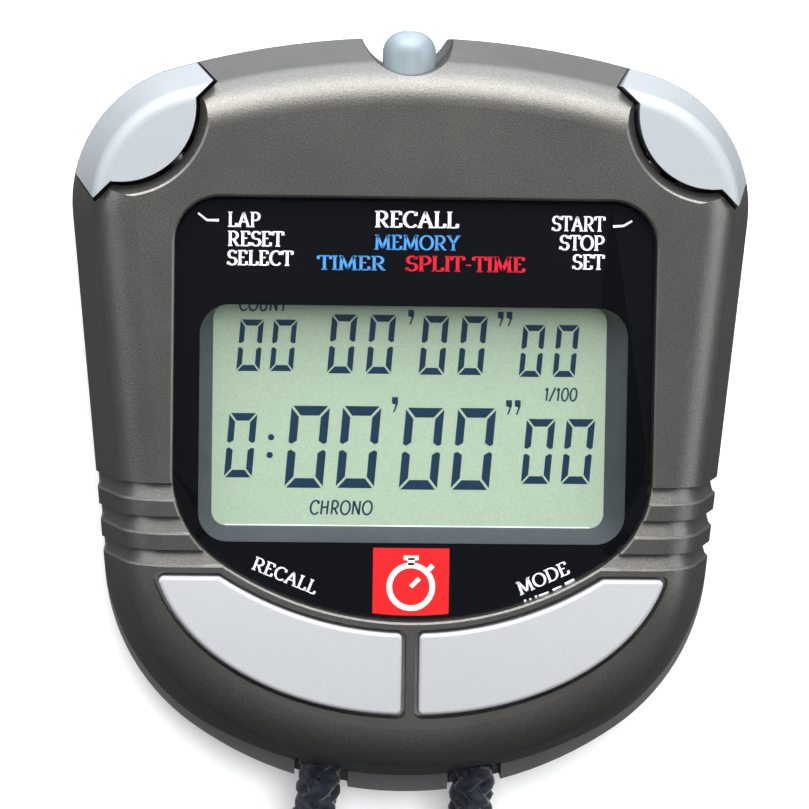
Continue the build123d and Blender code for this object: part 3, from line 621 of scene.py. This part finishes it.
word("display_chrono", "CHRONO", (-10.35, -9.72), 1.4, segment_ink, "display_green", DIGIT, 6.5, **SANS)
word("display_count", "COUNT", (-17.8, 11.1), 1.4, segment_ink, "display_green", DIGIT, 5.0, **SANS)
word("display_hundredths", "1/100", (13.5, 2.2), 1.3, segment_ink, "display_green", DIGIT, 3.5, **SANS)

# A painted highlight: a near-white line along the display's lower edge, standing in for the light that this
# edge catches.
EDGE_Y = -10.86
flat_piece("display_edge", stroke_faces([(-18.9, EDGE_Y), (18.5, EDGE_Y)], 0.11, 0.11),
           ink("display_edge_painted_highlight", (0.9, 0.92, 0.86)), DIGIT)


# ---------------------------------------------------------------- neck cord
# Two strands leave the case's bottom wall and lie down into one coil.
CORD_D = 4.8
LEFT_ROUTE = [(-8.6, -36.0, 9.3), (-9.3, -45.5, 8.7), (-14.5, -55.5, 3.4)]
RIGHT_ROUTE = [(9.6, -56.0, 5.6), (6.5, -45.5, 8.3), (7.4, -36.0, 9.3)]
COIL_CENTRE = (-3.0, -84.0)
COIL_START_TURN, COIL_TURNS = 135 / 360, 4.75
WINDINGS = [(29.8, 2.4), (25.0, 2.4), (20.2, 2.4), (22.6, 6.56), (27.4, 6.56)]
POINTS_PER_TURN = 16
CHANGE = 0.2                            # share of a turn in which a winding moves over to the next


def coil_route():
    """The coil's turns, each at its own radius and height, as one line."""
    points = []
    for step in range(round(COIL_TURNS * POINTS_PER_TURN) + 1):
        turn = step / POINTS_PER_TURN
        winding = min(int(turn), len(WINDINGS) - 1)
        following = min(winding + 1, len(WINDINGS) - 1)
        share = max(0.0, (turn - winding - 1 + CHANGE) / CHANGE)
        radius, height = [a + (b - a) * share for a, b in zip(WINDINGS[winding], WINDINGS[following])]
        angle = 2 * pi * (COIL_START_TURN + turn)
        points.append((COIL_CENTRE[0] + radius * cos(angle), COIL_CENTRE[1] + radius * sin(angle), height))
    return points


def nurbs_line(name, route):
    """A curve of one open NURBS spline through a route in millimetres."""
    curve = bpy.data.curves.new(name, "CURVE")
    curve.dimensions = "3D"
    spline = curve.splines.new("NURBS")
    spline.points.add(len(route) - 1)
    for point, place in zip(spline.points, route):
        point.co = (*[v * MM for v in place], 1)
    spline.order_u = 3
    spline.use_endpoint_u = True
    spline.resolution_u = 12
    line = bpy.data.objects.new(name, curve)
    scene.collection.objects.link(line)
    return line


def line_points(line):
    """The points that a curve with no bevel goes through."""
    bpy.context.view_layer.update()
    evaluated = line.evaluated_get(bpy.context.evaluated_depsgraph_get())
    mesh = bpy.data.meshes.new_from_object(evaluated)
    return [v.co.copy() for v in mesh.vertices]


def resample(points, spacing):
    """Evenly spaced points along a line."""
    result = [points[0]]
    travelled, wanted = 0.0, spacing
    for a, b in zip(points, points[1:]):
        run = (b - a).length
        while run > 0 and travelled + run >= wanted:
            result.append(a.lerp(b, (wanted - travelled) / run))
            wanted += spacing
        travelled += run
    return result


def frames_along(points):
    """At each point: its place, and two directions across the line that turn with it and don't twist."""
    tangents = [(b - a).normalized() for a, b in zip(points, points[1:])]
    tangents.append(tangents[-1])
    side = tangents[0].cross(Vector((0, 0, 1))).normalized()
    result = []
    for point, tangent in zip(points, tangents):
        side = (side - tangent * side.dot(tangent)).normalized()
        result.append((point, side, tangent.cross(side)))
    return result


STRANDS_EACH_WAY = 4
BRAID_PITCH = 12.5                      # length of one turn of a strand
SAMPLES_PER_TURN = 28
STRAND_WIDE, STRAND_THICK = 2.3, 1.15
STRAND_WAVE = 0.28                      # how far a strand dips on either side of its middle
STRAND_SIDES = 6


def braided_cord(name, points):
    """A mesh of flat strands that wind both ways round a line, over and under each other."""
    spacing = BRAID_PITCH * MM / SAMPLES_PER_TURN
    along = frames_along(resample(points, spacing))
    lie = (CORD_D - STRAND_THICK) / 2
    mesh = bmesh.new()
    for direction in (1, -1):
        for strand in range(STRANDS_EACH_WAY):
            rings = []
            for step, (centre, side, above) in enumerate(along):
                turn = step / SAMPLES_PER_TURN
                angle = 2 * pi * (direction * turn + strand / STRANDS_EACH_WAY)
                over = direction * cos(2 * pi * STRANDS_EACH_WAY * turn)
                out = side * cos(angle) + above * sin(angle)
                across = above * cos(angle) - side * sin(angle)
                radius = (lie + STRAND_WAVE * (over - 1)) * MM
                ring = []
                for corner in range(STRAND_SIDES):
                    round_angle = 2 * pi * corner / STRAND_SIDES
                    wide = STRAND_WIDE / 2 * cos(round_angle) * MM
                    thick = STRAND_THICK / 2 * sin(round_angle) * MM
                    ring.append(mesh.verts.new(centre + out * (radius + thick) + across * wide))
                rings.append(ring)
            for first, second in zip(rings, rings[1:]):
                for corner in range(STRAND_SIDES):
                    following = (corner + 1) % STRAND_SIDES
                    mesh.faces.new((first[corner], first[following], second[following], second[corner]))
            mesh.faces.new(rings[0][::-1])
            mesh.faces.new(rings[-1])
    bmesh.ops.recalc_face_normals(mesh, faces=mesh.faces)
    data = bpy.data.meshes.new(name)
    mesh.to_mesh(data)
    mesh.free()
    data.shade_smooth()
    piece = bpy.data.objects.new(name, data)
    scene.collection.objects.link(piece)
    return piece


cord_line = nurbs_line("cord_line", LEFT_ROUTE + coil_route() + RIGHT_ROUTE)
cord_points = line_points(cord_line)
bpy.data.objects.remove(cord_line)
cord_length = sum((b - a).length for a, b in zip(cord_points, cord_points[1:]))
neck_cord = braided_cord("neck_cord", cord_points)
neck_cord.data.materials.append(slots["cord_braid"])
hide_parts("neck_cord_coil", "neck_cord_left", "neck_cord_right")
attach(neck_cord, "case")
print("cord length", round(cord_length, 4))
